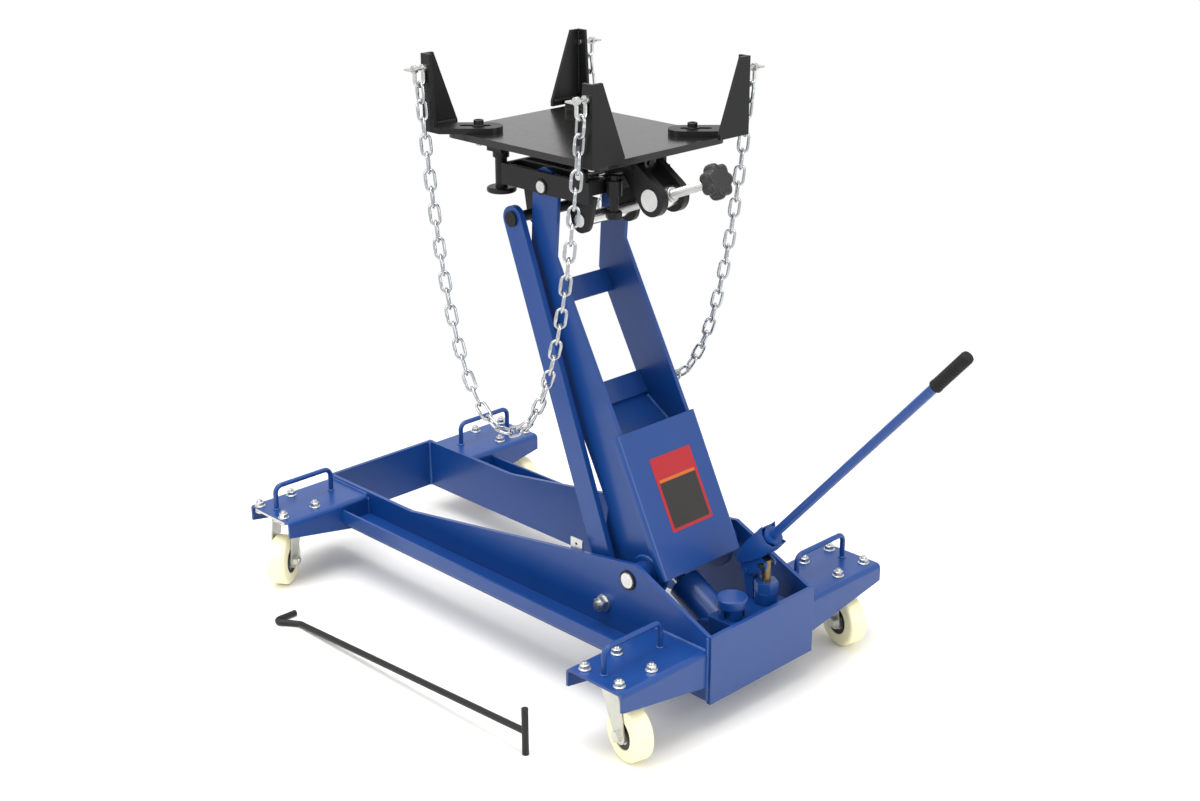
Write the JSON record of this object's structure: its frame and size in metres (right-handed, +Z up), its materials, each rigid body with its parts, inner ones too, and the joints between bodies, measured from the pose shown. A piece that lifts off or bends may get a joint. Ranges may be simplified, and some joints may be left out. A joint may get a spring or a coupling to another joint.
{
  "type": "transmission jack",
  "caption": "Low-profile hydraulic transmission jack on swivel casters: parallelogram lift arm, pump handle, tilting saddle with slotted corner brackets and hold-down chains.",
  "frame": {"origin": "on the floor under the middle of the bounding box, loose pull rod included", "axes": "+X forward to the nose of the chassis, +Y to the left, +Z up"},
  "size_m": [1.4208, 0.7863, 1.09],
  "materials": {
    "blue_enamel": "gloss",
    "black_paint": "satin",
    "zinc": "satin",
    "bright_steel": "satin",
    "nylon": "matte",
    "grip_rubber": "matte",
    "brass": "satin"
  },
  "bodies": {
    "chassis": {"rail_left": "blue_enamel", "rail_right": "blue_enamel", "side_channels": "blue_enamel", "front_crossbar": "blue_enamel", "rear_crossbar": "blue_enamel", "bay_floor": "blue_enamel", "outrigger_front_left": "blue_enamel", "outrigger_front_right": "blue_enamel", "outrigger_rear_left": "blue_enamel", "outrigger_rear_right": "blue_enamel", "corner_handles": "blue_enamel", "caster_plates": "zinc", "caster_nuts": "zinc", "arm_pivot_pin": "bright_steel", "link_bolt": "zinc", "pump_block": "blue_enamel", "pump_cylinder": "blue_enamel", "fulcrum": "blue_enamel", "rail_tab": "zinc"},
    "arm": {"arm_plate_left": "blue_enamel", "arm_plate_right": "blue_enamel", "arm_cross_plates": "blue_enamel", "arm_cover": "blue_enamel", "arm_pivot_tube": "blue_enamel"},
    "link": {"link_bar": "blue_enamel"},
    "head": {"yoke_frame": "black_paint", "head_pins": "bright_steel", "head_bolts": "black_paint"},
    "tilt": {"tilt_frame": "black_paint", "roll_pin": "bright_steel"},
    "upper_trunnion": {"trunnion_upper": "bright_steel"},
    "lower_trunnion": {"trunnion_lower": "bright_steel"},
    "screw": {"pitch_screw": "black_paint", "star_knob": "black_paint"},
    "saddle": {"saddle_plate": "black_paint", "bracket_front_left": "black_paint", "bracket_front_right": "black_paint", "bracket_rear_left": "black_paint", "bracket_rear_right": "black_paint", "bracket_bolts": "zinc", "shackles": "zinc", "chain_left": "zinc", "chain_right": "zinc"},
    "roll_adjuster": {"roll_screw": "black_paint"},
    "plunger": {"pump_plunger": "brass"},
    "release_valve": {"release_cap": "blue_enamel"},
    "handle": {"handle_socket": "blue_enamel", "handle_tube": "blue_enamel", "handle_grip": "grip_rubber"},
    "ram": {"ram_cylinder": "blue_enamel"},
    "rod": {"ram_rod": "bright_steel"},
    "hook_rod": {"pull_rod": "black_paint"},
    "fork_front_left": {"caster_fork_front_left": "zinc"},
    "roller_front_left": {"wheel_front_left": "nylon"},
    "fork_front_right": {"caster_fork_front_right": "zinc"},
    "roller_front_right": {"wheel_front_right": "nylon"},
    "fork_rear_left": {"caster_fork_rear_left": "zinc"},
    "roller_rear_left": {"wheel_rear_left": "nylon"},
    "fork_rear_right": {"caster_fork_rear_right": "zinc"},
    "roller_rear_right": {"wheel_rear_right": "nylon"}
  },
  "joints": [
    {"name": "arm_lift", "type": "hinge", "parent": "chassis", "child": "arm", "pos_m": [-0.1667, -0.054, 0.218], "axis": [0, -1, 0], "range_deg": [-74, 0], "deforming": ["chain_left", "chain_right"]},
    {"name": "link_swing", "type": "hinge", "parent": "chassis", "child": "link", "pos_m": [-0.1067, 0.05, 0.153], "axis": [0, -1, 0], "range_deg": [-74, 0]},
    {"name": "head_level", "type": "hinge", "parent": "arm", "child": "head", "pos_m": [0.0828, -0.054, 0.873], "axis": [0, -1, 0], "range_deg": [0, 74]},
    {"name": "saddle_pitch", "type": "hinge", "parent": "head", "child": "tilt", "pos_m": [-0.0122, -0.054, 0.908], "axis": [0, -1, 0], "range_deg": [-4, 15]},
    {"name": "upper_trunnion_turn", "type": "hinge", "parent": "tilt", "child": "upper_trunnion", "pos_m": [-0.1142, -0.054, 0.872], "axis": [0, -1, 0], "range_deg": [-6.83, 1.9]},
    {"name": "lower_trunnion_turn", "type": "hinge", "parent": "head", "child": "lower_trunnion", "pos_m": [0.0248, -0.054, 0.817], "axis": [0, -1, 0], "range_deg": [-2.3, 8.37]},
    {"name": "pitch_screw_spin", "type": "hinge", "parent": "upper_trunnion", "child": "screw", "pos_m": [-0.1142, -0.054, 0.872], "axis": [-0.9299, 0, 0.3679], "range_deg": [-189, 703.1]},
    {"name": "saddle_roll", "type": "hinge", "parent": "tilt", "child": "saddle", "pos_m": [0.0758, -0.054, 0.926], "axis": [1, 0, 0], "range_deg": [-6, 6]},
    {"name": "roll_screw_advance", "type": "slide", "parent": "tilt", "child": "roll_adjuster", "axis": [0, 0, 1], "range_m": [-0.0085, 0.0085]},
    {"name": "handle_pump", "type": "hinge", "parent": "chassis", "child": "handle", "pos_m": [-0.2834, -0.111, 0.2147], "axis": [0, -1, 0], "range_deg": [-6, 34]},
    {"name": "plunger_stroke", "type": "slide", "parent": "chassis", "child": "plunger", "axis": [0, 0, 1], "range_m": [-0.0239, 0.005]},
    {"name": "release_turn", "type": "hinge", "parent": "chassis", "child": "release_valve", "pos_m": [-0.3142, -0.025, 0.162], "axis": [0, 0, 1], "range_deg": [0, 180]},
    {"name": "ram_swing", "type": "hinge", "parent": "chassis", "child": "ram", "pos_m": [-0.2572, -0.054, 0.122], "axis": [0, -1, 0], "range_deg": [-18.43, 0]},
    {"name": "ram_stroke", "type": "slide", "parent": "ram", "child": "rod", "axis": [0.8749, 0, 0.4843], "range_m": [-0.0816, 0]},
    {"name": "swivel_front_left", "type": "hinge", "parent": "chassis", "child": "fork_front_left", "pos_m": [0.6478, 0.233, 0.12], "axis": [0, 0, 1], "continuous": true},
    {"name": "spin_front_left", "type": "hinge", "parent": "fork_front_left", "child": "roller_front_left", "pos_m": [0.62655, 0.2645, 0.05], "axis": [-0.829, -0.5592, 0], "continuous": true},
    {"name": "swivel_front_right", "type": "hinge", "parent": "chassis", "child": "fork_front_right", "pos_m": [0.6478, -0.341, 0.12], "axis": [0, 0, 1], "continuous": true},
    {"name": "spin_front_right", "type": "hinge", "parent": "fork_front_right", "child": "roller_front_right", "pos_m": [0.61146, -0.35211, 0.05], "axis": [0.2924, -0.9563, 0], "continuous": true},
    {"name": "swivel_rear_left", "type": "hinge", "parent": "chassis", "child": "fork_rear_left", "pos_m": [-0.2912, 0.233, 0.12], "axis": [0, 0, 1], "continuous": true},
    {"name": "spin_rear_left", "type": "hinge", "parent": "fork_rear_left", "child": "roller_rear_left", "pos_m": [-0.32822, 0.24155, 0.05], "axis": [-0.225, -0.9744, 0], "continuous": true},
    {"name": "swivel_rear_right", "type": "hinge", "parent": "chassis", "child": "fork_rear_right", "pos_m": [-0.2912, -0.341, 0.12], "axis": [0, 0, 1], "continuous": true},
    {"name": "spin_rear_right", "type": "hinge", "parent": "fork_rear_right", "child": "roller_rear_right", "pos_m": [-0.3279, -0.33116, 0.05], "axis": [-0.2588, -0.9659, 0], "continuous": true},
    {"name": "pull_rod_lift", "type": "slide", "parent": "chassis", "child": "hook_rod", "axis": [0, 0, 1], "range_m": [0, 0.3]}
  ],
  "couplings": [
    {"joint": "link_swing", "follows": "arm_lift", "ratio": 1},
    {"joint": "head_level", "follows": "arm_lift", "ratio": -1},
    {"joint": "ram_swing", "follows": "arm_lift", "ratio": 0.24629},
    {"joint": "ram_stroke", "follows": "arm_lift", "m_per_rad": 0.062794},
    {"joint": "upper_trunnion_turn", "follows": "saddle_pitch", "ratio": -0.449},
    {"joint": "lower_trunnion_turn", "follows": "saddle_pitch", "ratio": 0.551},
    {"joint": "pitch_screw_spin", "follows": "saddle_pitch", "ratio": 46.739},
    {"joint": "roll_screw_advance", "follows": "saddle_roll", "m_per_rad": 0.076},
    {"joint": "plunger_stroke", "follows": "handle_pump", "m_per_rad": -0.03941}
  ]
}
